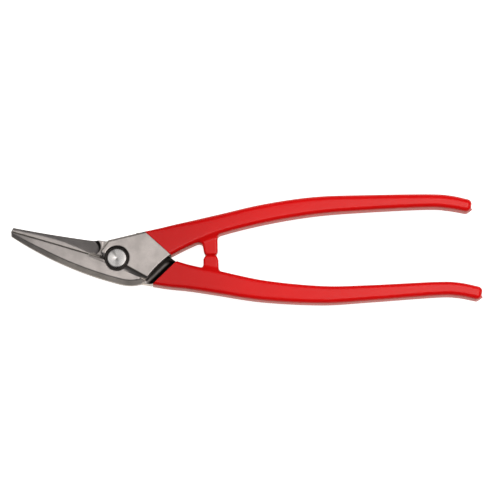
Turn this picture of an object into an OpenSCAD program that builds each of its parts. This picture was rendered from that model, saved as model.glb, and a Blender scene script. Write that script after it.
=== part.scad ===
// Forged sheet-metal snips: two lap-jointed levers on one adjustable pivot bolt, with dip-coated handles.
// X runs from the blade tips to the handle ends, Y across the handles, Z along the pivot.
// The origin is on the pivot axis, in the plane of the bolt's end, which the snips lie on.

/* [Overall] */
// Nominal length, from blade tips to handle ends
tool_length = 280; // [270:2:290]
// Thickness of each lapped cheek
cheek_t = 5.5; // [5.2:0.1:6]

/* [Handles] */
// Thickness of the forged handle core
core_t = 10; // [9:0.5:10]
// Thickness of the dip coat
coat_t = 0.5; // [0.3:0.1:0.6]
// Thickness of the bare stop lugs
lug_t = 5.4; // [4:0.2:7]

/* [Blades] */
// Thickness of a blade at its heel
heel_t = 4; // [3.6:0.1:4.4]
// Thickness of a blade at its tip
tip_t = 2.2; // [1.8:0.1:2.6]
// How far the closed blades pass each other
overlap = 1.2; // [0.8:0.1:1.6]
// Depth of the hollow grind at the heel
hollow_depth = 0.9; // [0.5:0.1:1.1]

/* [Pivot] */
// Radius of the bolt's shank
shank_r = 4; // [3.5:0.1:4.2]
// Radius of the bolt's round head
head_r = 5.7; // [5.4:0.1:6.2]
// Radius of the counterbore around the head
counterbore_r = 7.6; // [7.2:0.1:7.8]
// Width of the nut across its flats
nut_af = 13; // [12:0.5:14]
// Height of the nut, its collar included
nut_h = 6; // [5.5:0.5:7]
// Outer radius of both washers
washer_r = 8; // [7:0.5:8]

/* [Hidden] */
$fn = 64;

steel = "silver";
coat_red = "firebrick";
plating = "lightsteelblue";
nylon = "white";

plan = tool_length / 280;   // scales every outline that is drawn for a 280 mm tool
lap_play = 0.04;            // play between the two cheeks
run_play = 0.04;            // radial play of the rear lever on the shank
slip = 0.02;                // radial play of pieces that slip over the bolt
big = 120;                  // longer than anything that a cutter has to cross

// Heights of the stack, from the bolt's end up to the plane in which the blades shear
bolt_end = 1.5;             // the bolt stands this far out of the nut
flat_washer_t = 1.2;
spring_washer_t = 0.8;
spring_washer_rise = 0.5;
nut_z = bolt_end;
spring_z = nut_z + nut_h;
washer_z = spring_z + spring_washer_t + spring_washer_rise;
rear_z = washer_z + flat_washer_t;
shear_z = rear_z + cheek_t;

// Collar of the nut, and the insert ring in it
collar_h = 2.1;
ring_z = nut_z + 0.5;
ring_h = 1.6;
ring_r = 5;

// Counterbore, head and the nib that stops the bolt turning, above the shear plane
counterbore_floor = 2.5;
head_drop = 0.4;            // the head lies this far below the cheek's face
head_chamfer = 0.5;
head_h = cheek_t - counterbore_floor - head_drop;
nib = [2.2, 2, 1.4];
nib_x = -4.4;

// Shoulders: each lever is full thickness beyond a line at 45 degrees, clear of the other lever's cheek
shoulder_angle = 45;
shoulder_d = 22;            // from the pivot to the foot of the shoulder
upper_coat_d = 24;          // from the pivot to the coat's straight start, upper handle
lower_coat_d = 26.5;        // the same for the lower handle

// Handle stations: [x, y, half width with the coat], for a 280 mm tool
upper_handle = [
    [16, 5.2, 10.6], [28, 9.6, 9.2], [43, 15.4, 7.4], [61, 21.3, 6.1], [88, 28, 5.9], [118, 32.8, 5.6],
    [150, 34.7, 4.9], [186, 35.8, 4.3], [199, 35, 4.3], [208.5, 33.1, 4.1],
];
lower_handle = [
    [16, -5.2, 9.6], [30, -8.6, 8.7], [43, -11.3, 7.5], [61, -14.6, 7], [88, -19.5, 6.2], [122, -22, 5.4],
    [150, -20.9, 4.8], [190, -18.4, 4.3], [203, -18.7, 4.2], [213.5, -20.8, 4.1],
];
section_in = [0.35, 1.1, 2.8];   // how far a handle's side has come in
section_up = [0.44, 0.78, 1];    // at these shares of its half thickness
span_steps = 4;             // rings between two stations
end_r = 3.4;                // how far the rounded handle end runs past the last station
end_steps = 4;
drip_l = 1.7;               // small pointed drip of the coat on the handle's end
drip_r = [2, 0.7];
drip_sink = 0.8;            // how deep it starts in the end

// Blades, for a 280 mm tool
tip_x = -63.8;
edge_slope = -0.306;        // of the cutting edges, rise over run
edge_y0 = -2.3;             // height of the lower blade's cutting edge at the pivot
edge_lean = 0.42;           // how far the edge face leans back for each millimetre of the blade's thickness
belly_r = 215;              // long curve of the belly, then two tighter ones round the heel
belly_centre = [56, 192.7];
heel_turn = [2, 25];        // x where the first tighter curve starts, and its radius
heel_end = [13.5, 5];       // the same for the second
belly_bevel = 2.9;          // width of the bevel along the belly
belly_flat = 0.7;           // height of the square-cut strip below the bevel
back_bevel = 1.1;           // width of the bevel along the upper blade's back
taper_x = -15;              // the blades are full thickness from here on

// Hollow grind of both blades: a wide cylinder that lies along the cutting edge
hollow_r = 45;
hollow_x = -40;             // middle of its length
hollow_l = 46;
hollow_y = [9, 15];         // middle of its width, lower and upper blade
hollow_turn = 0.8;          // degrees by which it deepens towards the heel

// Sloping shelf between the heel of the lower blade's cutting edge and the cheek
shelf = [[-17.4, 1.1], [-17.2, 3.5], [-14.5, 5.2], [-9.4, 3.4], [-5.6, 0], [-6.4, -4.2], [-15, -1.4]];
shelf_fold = [-16, 0.9];    // a point of the fold in which the shelf leaves the blade's face
shelf_turn = -22.6;         // direction of the fold
shelf_fall = 38.7;          // slope of the shelf

/* ---- Curves and lofts ---- */

// Point at t, from 0 to 1, on the smooth curve from b to c, whose neighbours are a and d
function blend(a, b, c, d, t) =
    (2 * b + (c - a) * t + (2 * a - 5 * b + 4 * c - d) * t * t + (3 * b - 3 * c + d - a) * t * t * t) / 2;

// Stations of a smooth curve through the list p
function smooth(p) = let (last = len(p) - 1) [
    for (i = [0 : last - 1], k = [0 : span_steps - 1])
        blend(p[max(i - 1, 0)], p[i], p[i + 1], p[min(i + 2, last)], k / span_steps),
    p[last],
];

// Direction of the curve s at its station i
function heading(s, i) = let (d = s[min(i + 1, len(s) - 1)] - s[max(i - 1, 0)]) atan2(d[1], d[0]);

// Half of a handle's section, above the parting line: half width w, half thickness h
function section_half(w, h) = [
    [w, 0],
    for (k = [0 : 2]) [w - section_in[k], section_up[k] * h],
    for (k = [2 : -1 : 0]) [section_in[k] - w, section_up[k] * h],
];
function section(w, h) = concat(section_half(w, h), [for (p = section_half(w, h)) -p]);

// One ring of a handle: the section at a station, turned square to the curve and scaled by k
function ring(x, y, w, h, angle, k) = [
    for (p = section(w, h)) [x - sin(angle) * p[0] * k, y + cos(angle) * p[0] * k, p[1] * k]
];

// All the rings of a handle, with its rounded end; inset is the coat's thickness on the core
function handle_rings(stations, half_t, inset) = let (
    s = [for (p = smooth(stations)) [p[0] * plan, p[1] * plan, p[2] * plan - inset]],
    last = len(s) - 1,
    end = s[last],
    end_angle = heading(s, last),
    reach = end_r - inset
) concat(
    [for (i = [0 : last]) ring(s[i][0], s[i][1], s[i][2], half_t, heading(s, i), 1)],
    [for (i = [1 : end_steps]) let (a = 80 * i / end_steps)
        ring(end[0] + cos(end_angle) * reach * sin(a), end[1] + sin(end_angle) * reach * sin(a),
             end[2], half_t, end_angle, cos(a))]
);

// Closed solid through rings that all have the same number of points
module loft(rings) {
    n = len(rings[0]);
    m = len(rings);
    polyhedron(
        points = [for (r = rings) for (p = r) p],
        faces = concat(
            [[for (k = [0 : n - 1]) k]],
            [for (i = [0 : m - 2], k = [0 : n - 1]) let (j = (k + 1) % n)
                [i * n + k, (i + 1) * n + k, (i + 1) * n + j, i * n + j]],
            [[for (k = [n - 1 : -1 : 0]) (m - 1) * n + k]]
        ),
        convexity = 6
    );
}

/* ---- Blade outlines ---- */

function edge_y(x) = (edge_y0 * plan) + edge_slope * x;

// Lowest y, at x, of the circle with centre c and radius r
function arc_y(c, r, x) = c[1] - sqrt(r * r - pow(x - c[0], 2));

// Centre of an arc of radius r that leaves the arc (c, big_r) smoothly at x
function next_centre(c, big_r, x, r) = let (p = [x, arc_y(c, big_r, x)]) p + (c - p) * r / big_r;

turn_centre = next_centre(belly_centre, belly_r, heel_turn[0], heel_turn[1]);
end_centre = next_centre(turn_centre, heel_turn[1], heel_end[0], heel_end[1]);

function belly_y(x) = plan * (x < heel_turn[0] * plan
    ? arc_y(belly_centre, belly_r, x / plan)
    : arc_y(turn_centre, heel_turn[1], x / plan));
function blade_t(x) = x > taper_x * plan
    ? heel_t
    : tip_t + (heel_t - tip_t) * (x - tip_x * plan) / ((taper_x - tip_x) * plan);

// Sections square to X, above the shear plane for the lower blade
function lower_section(x) = let (t = blade_t(x), e = edge_y(x), b = belly_y(x)) [
    [x, e, lap_play / 2], [x, e - edge_lean * t, t], [x, b + belly_bevel, t], [x, b, belly_flat],
    [x, b + 0.2, lap_play / 2],
];

// The upper blade's slim back: its top line, and sections that hang below the shear plane
function back_y(x) = plan * 10.85 - 0.0853 * x + 0.00094 * x * x / plan;
function upper_section(x) = let (t = blade_t(x), e = edge_y(x) - overlap, b = back_y(x)) [
    [x, e + edge_lean * t, -t], [x, b - back_bevel, -t], [x, b, -belly_flat], [x, b - 0.2, -lap_play / 2],
    [x, e, -lap_play / 2],
];

/* ---- Shared cutters ---- */

// Everything on the pivot's side of a shoulder that is cut at height 0, sloping out to slope_d at the cheek's face
module lap_cutter(slope_d) {
    rotate([90, 0, 0])
        linear_extrude(big, center = true)
            polygon([[-big, -lap_play / 2], [shoulder_d, -lap_play / 2], [slope_d, cheek_t], [slope_d, 2 * cheek_t],
                     [-big, 2 * cheek_t]]);
}

// Hollow grind along the cutting edge, out of the face that lies in the shear plane
module hollow_cutter(mid_y, turn) {
    translate([hollow_x * plan, mid_y * plan, hollow_r])
        rotate([0, 90 + turn, atan(edge_slope)])
            cylinder(r = hollow_r, h = hollow_l * plan, center = true, $fn = 200);
}

module half_space(d) {
    translate([d, -3 * big, -big / 2]) cube([3 * big, 6 * big, big]);
}

/* ---- Levers ---- */

module handle_core(stations) {
    loft(handle_rings(stations, core_t / 2, coat_t));
}

// Stop lug under the upper handle; grow is the coat's thickness
module upper_lug(grow) {
    linear_extrude(lug_t + 2 * grow, center = true)
        polygon([[50.5 - grow, 17], [51.6 - grow, 11], [52 - grow, 5], [53.2 - grow / 2, 2.8 + coat_t - grow],
                 [58.6 + grow / 2, 2.8 + coat_t - grow], [59.4 + grow, 4.8], [59.4 + grow, 19]] * plan);
}

// Stop lug on the lower handle
module lower_lug(grow) {
    linear_extrude(lug_t + 2 * grow, center = true)
        polygon([[51 - grow, -13], [51.8 - grow, -8], [52 - grow, -0.8], [53.2 - grow / 2, 1.8 - coat_t + grow],
                 [58.8 + grow / 2, 1.8 - coat_t + grow], [60 + grow, -0.6], [60.4 + grow, -10],
                 [60.6 + grow, -14]] * plan);
}

// Cheek of the lever in front, up to the coat's start line
module front_cheek() {
    translate([0, 0, lap_play / 2])
        linear_extrude(cheek_t - lap_play / 2)
            polygon([[-5.4, 11], [-9.2, 5.6], [-9.9, 4.2], [-9.6, 2.8], [-8.4, 1.4], [0, -4], [7.2, -5.4],
                     [18.2, -11.5], [31.9, 2.1], [17.3, 16.6]] * plan);
}

// Cheek of the lever behind, with the boss that carries its slim blade
module rear_cheek() {
    translate([0, 0, -cheek_t])
        linear_extrude(cheek_t - lap_play / 2)
            polygon([[-12.5, 12.1], [-2, 11], [6, 12.8], [15, 12.6], [18.2, 11.5], [30.4, -0.7],
                     [35.6, -2], [20.6, -15.2], [-4, -11], [-9, -7.6], [-12, -1]] * plan);
}

module lower_blade() {
    loft([for (x = [tip_x, -58, -50, -40, -30, -20, -10, heel_turn[0], 6, 10, end_centre[0]])
        lower_section(x * plan)]);
    translate([end_centre[0] * plan, end_centre[1] * plan, belly_flat])
        cylinder(r1 = heel_end[1] * plan, r2 = (heel_end[1] - belly_bevel) * plan, h = heel_t - belly_flat);
    translate([end_centre[0] * plan, end_centre[1] * plan, lap_play / 2])
        cylinder(r = heel_end[1] * plan - 0.1, h = 0.8);
}

module upper_blade() {
    loft([for (x = [tip_x, -58, -50, -40, -30, -20, -11]) upper_section(x * plan)]);
}

module heel_shelf() {
    intersection() {
        translate([0, 0, lap_play / 2]) linear_extrude(heel_t) polygon(shelf * plan);
        translate([shelf_fold[0] * plan, shelf_fold[1] * plan, heel_t])
            rotate([-shelf_fall, 0, shelf_turn])
                translate([-big / 2, -big / 2, -big]) cube(big);
    }
}

module bore(r) {
    translate([0, 0, -big / 2]) cylinder(r = r, h = big);
}

module lower_blade_lever() {
    color(steel) translate([0, 0, shear_z]) difference() {
        union() {
            difference() {
                handle_core(upper_handle);
                rotate([0, 0, shoulder_angle]) mirror([0, 0, 1]) lap_cutter(upper_coat_d);
            }
            upper_lug(0);
            front_cheek();
            heel_shelf();
            difference() {
                lower_blade();
                translate([0, 0, lap_play / 2]) mirror([0, 0, 1])
                    translate([0, 0, -hollow_depth]) hollow_cutter(hollow_y[0], hollow_turn);
            }
        }
        bore(shank_r + slip);
        translate([0, 0, counterbore_floor]) cylinder(r = counterbore_r, h = cheek_t);
        translate([nib_x - nib[0] / 2 - 0.05, -nib[1] / 2 - 0.05, counterbore_floor - nib[2] - 0.05])
            cube([nib[0] + 0.1, nib[1] + 0.1, nib[2] + 1]);
    }
}

module upper_blade_lever() {
    color(steel) translate([0, 0, shear_z]) difference() {
        union() {
            difference() {
                handle_core(lower_handle);
                rotate([0, 0, -shoulder_angle]) lap_cutter(lower_coat_d);
            }
            lower_lug(0);
            rear_cheek();
            difference() {
                upper_blade();
                translate([0, 0, -hollow_depth - lap_play / 2]) hollow_cutter(hollow_y[1], -hollow_turn);
            }
        }
        bore(shank_r + run_play);
    }
}

/* ---- Dip coats ---- */

// Small pointed drip that the dip leaves at the handle's end
module drip(stations, lean) {
    end = stations[len(stations) - 1] * plan;
    angle = atan2(end[1] - stations[len(stations) - 2][1] * plan, end[0] - stations[len(stations) - 2][0] * plan);
    translate([end[0], end[1], 0])
        rotate([0, 0, angle])
            translate([end_r - drip_sink, lean, 0])
                rotate([0, 90, 0])
                    cylinder(r1 = drip_r[0], r2 = drip_r[1], h = drip_l, $fn = 24);
}

module coat(stations, coat_angle, start_d, lean) {
    difference() {
        intersection() {
            union() {
                loft(handle_rings(stations, core_t / 2 + coat_t, 0));
                drip(stations, lean);
                children(0);
            }
            rotate([0, 0, coat_angle]) half_space(start_d);
        }
        handle_core(stations);
        children(1);
    }
}

module upper_handle_coat() {
    color(coat_red) translate([0, 0, shear_z])
        coat(upper_handle, shoulder_angle, upper_coat_d, -1) {
            upper_lug(coat_t);
            upper_lug(0);
        }
}

module lower_handle_coat() {
    color(coat_red) translate([0, 0, shear_z])
        coat(lower_handle, -shoulder_angle, lower_coat_d, -0.6) {
            lower_lug(coat_t);
            lower_lug(0);
        }
}

/* ---- Pivot ---- */

// Round-headed bolt with a nib under the head, which seats in the front lever
module pivot_bolt() {
    head_z = shear_z + counterbore_floor;
    color(plating) {
        rotate_extrude()
            polygon([[0, 0], [shank_r - 0.7, 0], [shank_r - 0.1, 0.7], [shank_r - 0.1, washer_z], [shank_r, washer_z],
                     [shank_r, head_z], [head_r, head_z], [head_r, head_z + head_h - head_chamfer],
                     [head_r - head_chamfer, head_z + head_h], [0, head_z + head_h]]);
        translate([nib_x - nib[0] / 2, -nib[1] / 2, head_z - nib[2]])
            cube([nib[0], nib[1], nib[2] + 0.4]);
    }
}

module flat_washer() {
    color(plating) translate([0, 0, washer_z]) difference() {
        cylinder(r = washer_r, h = flat_washer_t);
        translate([0, 0, -1]) cylinder(r = shank_r + 0.2, h = 4);
    }
}

// Conical washer that keeps the blades pressed together
module spring_washer() {
    inner = shank_r + 0.2;
    outer = washer_r - 0.3;
    color(plating) translate([0, 0, spring_z])
        rotate_extrude()
            polygon([[inner, 0], [outer, spring_washer_rise], [outer, spring_washer_rise + spring_washer_t],
                     [inner, spring_washer_t]]);
}

// Thin lock nut: a hexagon with a round collar that is rolled over the insert ring
module lock_nut() {
    color(plating) difference() {
        union() {
            translate([0, 0, nut_z]) cylinder(r = nut_af / 2 - 0.9, h = collar_h + 0.5);
            intersection() {
                translate([0, 0, nut_z + collar_h])
                    cylinder(r = nut_af / 2 / cos(30), h = nut_h - collar_h, $fn = 6);
                translate([0, 0, nut_z + collar_h])
                    cylinder(r1 = nut_af / 2, r2 = nut_af / 2 + nut_h - collar_h, h = nut_h - collar_h);
            }
        }
        translate([0, 0, -1]) cylinder(r = shank_r + slip, h = 12);
        translate([0, 0, ring_z]) cylinder(r = ring_r, h = ring_h);
    }
}

module nut_insert_ring() {
    color(nylon) translate([0, 0, ring_z]) difference() {
        cylinder(r = ring_r, h = ring_h);
        translate([0, 0, -1]) cylinder(r = shank_r - 0.1, h = 4);
    }
}

lower_blade_lever();
upper_blade_lever();
upper_handle_coat();
lower_handle_coat();
pivot_bolt();
flat_washer();
spring_washer();
lock_nut();
nut_insert_ring();
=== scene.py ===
import math

import bmesh
import bpy
import numpy as np
from bpy.props import FloatProperty, FloatVectorProperty, PointerProperty
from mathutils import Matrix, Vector


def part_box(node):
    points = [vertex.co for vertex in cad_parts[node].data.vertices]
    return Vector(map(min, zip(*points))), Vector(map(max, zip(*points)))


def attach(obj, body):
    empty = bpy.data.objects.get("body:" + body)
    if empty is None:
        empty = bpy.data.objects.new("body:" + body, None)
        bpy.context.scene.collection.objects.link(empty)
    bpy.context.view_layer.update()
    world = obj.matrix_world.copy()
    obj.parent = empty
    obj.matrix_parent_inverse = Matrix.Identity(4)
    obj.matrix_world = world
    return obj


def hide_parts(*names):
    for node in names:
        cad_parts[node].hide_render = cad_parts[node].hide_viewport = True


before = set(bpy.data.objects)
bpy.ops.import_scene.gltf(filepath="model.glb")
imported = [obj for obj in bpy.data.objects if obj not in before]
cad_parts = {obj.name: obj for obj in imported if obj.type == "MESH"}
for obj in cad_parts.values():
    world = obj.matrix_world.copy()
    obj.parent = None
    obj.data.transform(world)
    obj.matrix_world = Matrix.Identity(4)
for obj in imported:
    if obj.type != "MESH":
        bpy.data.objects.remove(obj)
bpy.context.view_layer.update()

bl_info = {
    "name": "Forged Sheet-Metal Snips",
    "version": (1, 0, 0),
    "blender": (4, 5, 0),
    "location": "View3D > Sidebar > Snips",
    "description": "Makes the finished pieces of forged sheet-metal snips around their packed CAD model",
    "category": "Object",
}

MM = 0.001

# ---------------------------------------------------------------------------------------------
# Heights and sizes that come from the frame, in millimetres
# ---------------------------------------------------------------------------------------------


def low_mm(node):
    """Lowest corner of a CAD node's box."""
    return [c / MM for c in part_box(node)[0]]


def high_mm(node):
    """Highest corner of a CAD node's box."""
    return [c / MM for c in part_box(node)[1]]


CHEEK_TOP = high_mm("lower_blade_lever")[2]
CHEEK_BACK = low_mm("upper_blade_lever")[2]
SHEAR_Z = (CHEEK_TOP + CHEEK_BACK) / 2      # the plane in which the blades pass each other
CHEEK_T = (CHEEK_TOP - CHEEK_BACK) / 2
COAT_HALF_T = high_mm("upper_handle_coat")[2] - SHEAR_Z
CORE_HALF_T = SHEAR_Z - low_mm("lower_blade_lever")[2]
COAT_T = COAT_HALF_T - CORE_HALF_T
HEAD_R = high_mm("pivot_bolt")[0]
HEAD_TOP = high_mm("pivot_bolt")[2]
WASHER_R = high_mm("flat_washer")[0]
NUT_AF = high_mm("lock_nut")[1] * 2

LAP_GAP = 0.02                              # from the shear plane to each lever's lap face
COAT_GAP = 0.02                             # between a coat and the steel under it
FINE = 0.285                                # mesh spacing on the worked steel
COARSE = 1.0                                # mesh spacing along the plain handle

# ---------------------------------------------------------------------------------------------
# Fields: a shape is a function that is negative inside and grows by a millimetre per millimetre
# ---------------------------------------------------------------------------------------------


def fade(value, start, run):
    """Goes from 0 to 1 while the value goes from start to start + run."""
    return np.clip((value - start) / run, 0, 1)


def both(a, b, r):
    """What lies in a and in b, with the edge between them rounded to r."""
    return np.minimum(-r, np.maximum(a, b)) + np.hypot(np.maximum(a + r, 0), np.maximum(b + r, 0))


def either(a, b, r):
    """a and b joined, with a fillet of radius r between them."""
    return np.maximum(r, np.minimum(a, b)) - np.hypot(np.maximum(r - a, 0), np.maximum(r - b, 0))


def inset(points, r):
    """The outline moved inwards by r. Its points run anticlockwise."""
    out = []
    for i, p in enumerate(points):
        a, c = np.subtract(p, points[i - 1]), np.subtract(points[(i + 1) % len(points)], p)
        na, nc = np.array([-a[1], a[0]]) / np.hypot(*a), np.array([-c[1], c[0]]) / np.hypot(*c)
        out.append(np.add(p, (na + nc) * r / (1 + na @ nc)))
    return out


def outline(x, y, points, r):
    """Distance to a closed outline, drawn anticlockwise, whose corners are rounded to r."""
    pts = inset(points, r)
    nearest = np.full(np.broadcast(x, y).shape, 1e9)
    inside = np.zeros(nearest.shape, bool)
    for (ax, ay), (bx, by) in zip(pts, pts[1:] + pts[:1]):
        ex, ey = bx - ax, by - ay
        t = np.clip(((x - ax) * ex + (y - ay) * ey) / (ex * ex + ey * ey), 0, 1)
        nearest = np.minimum(nearest, np.hypot(x - ax - t * ex, y - ay - t * ey))
        crosses = ((ay > y) != (by > y)) & (x < ax + (y - ay) * ex / (ey if ey else 1e-9))
        inside ^= crosses
    return np.where(inside, -nearest, nearest) - r


# ---------------------------------------------------------------------------------------------
# Meshing a field: one vertex in every grid cell that its surface crosses, then pulled onto it
# ---------------------------------------------------------------------------------------------

CELL_CORNERS = [(i, j, k) for i in (0, 1) for j in (0, 1) for k in (0, 1)]
PROBE = 0.01                                # how far a field is read on each side of a point for its slope
LONGEST_PULL = 0.3                          # that one round may move a vertex
FLATTEST_SLOPE = 0.05                       # squared, below which a pull is held back
EVENING_ROUNDS = 3


def slope_of(shape, p):
    """The field's value at the points p, and its gradient."""
    x, y, z = p.T
    grad = np.stack([
        shape(x + PROBE, y, z) - shape(x - PROBE, y, z),
        shape(x, y + PROBE, z) - shape(x, y - PROBE, z),
        shape(x, y, z + PROBE) - shape(x, y, z - PROBE),
    ], 1) / (2 * PROBE)
    return shape(x, y, z), grad


def pull_on(shape, p, rounds):
    """The points p moved onto the field's surface, in a few short steps."""
    for _ in range(rounds):
        value, grad = slope_of(shape, p)
        move = grad * (value / np.maximum((grad ** 2).sum(1), FLATTEST_SLOPE))[:, None]
        length = np.linalg.norm(move, axis=1, keepdims=True)
        p = p - move * np.minimum(1, LONGEST_PULL / np.maximum(length, 1e-9))
    return p


def skin(shape, xs, ys, zs):
    """Vertices and outward quads of the field's surface, on a grid of any spacing."""
    field = shape(xs[:, None, None], ys[None, :, None], zs[None, None, :])
    inside = field < 0
    count = sum(inside[i:i + len(xs) - 1, j:j + len(ys) - 1, k:k + len(zs) - 1].astype(np.int8)
                for i, j, k in CELL_CORNERS)
    cells = np.nonzero((count > 0) & (count < 8))
    number = np.full(count.shape, -1, np.int64)
    number[cells] = np.arange(len(cells[0]))
    verts = pull_on(shape, crossings(field, cells, xs, ys, zs), 3)
    quads = np.concatenate([facing(inside, number, axis) for axis in range(3)])
    for _ in range(EVENING_ROUNDS):
        verts = pull_on(shape, evened(verts, quads), 2)
    return verts, quads


def crossings(field, cells, xs, ys, zs):
    """For every cell, the middle of the points at which its edges cross the surface."""
    ci, cj, ck = cells
    total, hits = np.zeros((len(ci), 3)), np.zeros(len(ci))
    for a in CELL_CORNERS:
        for axis in range(3):
            if a[axis]:
                continue
            b = tuple(v + (axis == n) for n, v in enumerate(a))
            fa, fb = field[ci + a[0], cj + a[1], ck + a[2]], field[ci + b[0], cj + b[1], ck + b[2]]
            cut = (fa < 0) != (fb < 0)
            t = fa / np.where(cut, fa - fb, 1)
            pa = np.stack([xs[ci + a[0]], ys[cj + a[1]], zs[ck + a[2]]], 1)
            pb = np.stack([xs[ci + b[0]], ys[cj + b[1]], zs[ck + b[2]]], 1)
            total += np.where(cut[:, None], pa + (pb - pa) * t[:, None], 0)
            hits += cut
    return total / hits[:, None]


def facing(inside, number, axis):
    """The quads that cross the grid lines of one direction, each through the four cells round its line."""
    u, v = [(1, 2), (2, 0), (0, 1)][axis]
    here = [slice(None)] * 3
    there = [slice(None)] * 3
    here[axis], there[axis] = slice(None, -1), slice(1, None)
    a, b = inside[tuple(here)], inside[tuple(there)]
    idx = np.array(np.nonzero(a != b))
    idx = idx[:, (idx[u] > 0) & (idx[v] > 0) & (idx[u] < number.shape[u]) & (idx[v] < number.shape[v])]
    ring = []
    for du, dv in ((1, 1), (0, 1), (0, 0), (1, 0)):
        cell = idx.copy()
        cell[u] -= du
        cell[v] -= dv
        ring.append(number[cell[0], cell[1], cell[2]])
    quad = np.stack(ring, 1)
    outward = a[idx[0], idx[1], idx[2]]
    return np.where(outward[:, None], quad, quad[:, ::-1])


def evened(verts, quads):
    """Every vertex moved halfway to the middle of its neighbours, so that the quads even out."""
    total, hits = np.zeros_like(verts), np.zeros(len(verts))
    for n in range(4):
        a, b = quads[:, n], quads[:, (n + 1) % 4]
        for axis in range(3):
            total[:, axis] += np.bincount(a, verts[b, axis], len(verts))
            total[:, axis] += np.bincount(b, verts[a, axis], len(verts))
        hits += np.bincount(a, minlength=len(verts)) + np.bincount(b, minlength=len(verts))
    return (verts + total / hits[:, None]) / 2


def span(*stops):
    """Grid lines: span(a, s, b, t, c) steps by s from a to b and by t from b to c."""
    lines = [np.array([stops[0]])]
    for a, step, b in zip(stops[0::2], stops[1::2], stops[2::2]):
        lines.append(np.linspace(a, b, max(2, round((b - a) / step) + 1))[1:])
    return np.concatenate(lines)


def piece_from(name, verts, quads):
    """A smooth-shaded object in metres from vertices in millimetres, measured from the shear plane."""
    mesh = bpy.data.meshes.new(name)
    mesh.vertices.add(len(verts))
    mesh.vertices.foreach_set("co", ((verts + [0, 0, SHEAR_Z]) * MM).ravel())
    mesh.loops.add(quads.size)
    mesh.loops.foreach_set("vertex_index", quads.ravel().astype(np.int32))
    mesh.polygons.add(len(quads))
    mesh.polygons.foreach_set("loop_start", np.arange(0, quads.size, 4, dtype=np.int32))
    mesh.polygons.foreach_set("use_smooth", np.ones(len(quads), bool))
    mesh.update(calc_edges=True)
    mesh.validate()
    obj = bpy.data.objects.new(name, mesh)
    bpy.context.scene.collection.objects.link(obj)
    return obj


def store(obj, name, values):
    """Keeps one number for each vertex, which the piece's material reads."""
    attribute = obj.data.attributes.new(name, "FLOAT", "POINT")
    attribute.data.foreach_set("value", np.asarray(values, np.float32))


# ---------------------------------------------------------------------------------------------
# The snips' lines, in plan, in millimetres from the pivot
# ---------------------------------------------------------------------------------------------

# Handle stations: x, y, half width over the coat
UPPER_HANDLE = [
    (16, 5.2, 10.6), (28, 9.6, 9.2), (43, 15.4, 7.4), (61, 21.3, 6.1), (88, 28, 5.9), (118, 32.8, 5.6),
    (150, 34.7, 4.9), (186, 35.8, 4.3), (199, 35, 4.3), (208.5, 33.1, 4.1),
]
LOWER_HANDLE = [
    (16, -5.2, 9.6), (30, -8.6, 8.7), (43, -11.3, 7.5), (61, -14.6, 7), (88, -19.5, 6.2), (122, -22, 5.4),
    (150, -20.9, 4.8), (190, -18.4, 4.3), (203, -18.7, 4.2), (213.5, -20.8, 4.1),
]
PATH_STEPS = 60                             # from one station to the next
RUN_ON = 8                                  # that the middle line goes on past its last station
END_REACH = 3.4                             # from the last station to the handle's end
END_R = 3.0                                 # rounding of that end
EDGE_R = 2.3                                # rounding along a handle's edges
OUTER_R = 3.4                               # the same on the outer side of the upper handle
CORE_EDGE_R = EDGE_R - 0.4                  # the same on the steel under the coat
CRISPER_OUTER, CRISPER_INNER = 0.65, 0.25   # share of that rounding lost towards the head, on each side
CRISPER_X, CRISPER_RUN = 48, 30             # where the loss starts, and the length over which it grows
CROWN = 0.3                                 # rise of a handle's faces towards their middle
DRAFT = 0.3                                 # by which its sides pull in towards its faces

# Shoulders: a lever is full thickness beyond a line that lies at 45 degrees to the tool
DIAGONAL = math.sqrt(0.5)
CORE_START_D = 19                           # from the pivot to where a handle joins its cheek
SHOULDER_D = 22.0                           # from the pivot to the shoulder's foot
UPPER_COAT_D = 24.0                         # from the pivot to the top of the shoulder
LOWER_COAT_D = 26.5
COVE_BACK, COVE_ABOVE = 0.4, 0.6            # centre of the shoulder's cove, behind its foot and above a cheek
UPPER_START = (0.674, 0.739, 23.05)         # coats' start lines: direction square to them, and distance
LOWER_START = (DIAGONAL, -DIAGONAL, 26.5)

EDGE_SLOPE = -0.306                         # cutting edges, seen from the front
EDGE_Y0 = -2.3
LOWER_EDGE_Y0 = -1.85                       # the lower blade's edge where the blades meet
BACK_BEVEL_Y0 = -2.9                        # the bevel behind it, where it meets the blade's face
EDGE_LEAN = 0.14                            # of the upper blade's edge face, per millimetre of thickness
OVERLAP = 1.2                               # of the closed blades
HEEL_T = 4.0                                # thickness of a blade at its heel
THINNING = 1.85                             # taken off it at the tip
THINNING_X, THINNING_RUN = -8, 55.8         # where the thinning starts, and the length over which it grows
HEEL_RISE = 0.035                           # of the lower blade's face, per millimetre behind the pivot
HEEL_RISE_X, HEEL_RISE_RUN = 10, 9          # where the rise starts, and its length
BEVEL_RUN = 2.95                            # width in plan of the bevel along the belly
BEVEL_LOSS = 0.9                            # taken off that width at the tip
BEVEL_LOSS_X, BEVEL_LOSS_RUN = -44, 19      # where the loss starts, and the length over which it grows
BELLY_FLAT = 0.8                            # height of the square-cut strip under that bevel
LOWER_TIP_X = -63.7
UPPER_TIP = [(-62.8, 19.7), (-63.7, 17.7)]
UPPER_ROOT_X = -9                           # where the upper blade runs into its cheek
BACK_Y0, BACK_FALL, BACK_BEND = 10.85, 0.0853, 0.00094   # the upper blade's back at x = 0, its slope and bend
RELIEF_SLOPE = 0.27                         # of the hollow grind, per millimetre from the land
RELIEF_SOFTNESS = 0.3                       # over which the land turns into the hollow grind
LAND_X = (-62, -58, -52, -44, -34, -25, -16)
LAND_WIDTH = (1.0, 1.5, 2.1, 2.6, 2.8, 2.05, 0.6)   # of the bright land along the upper blade's edge
LAND_SHOWN = 0.3                            # more of it, which the lower blade hides
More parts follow.
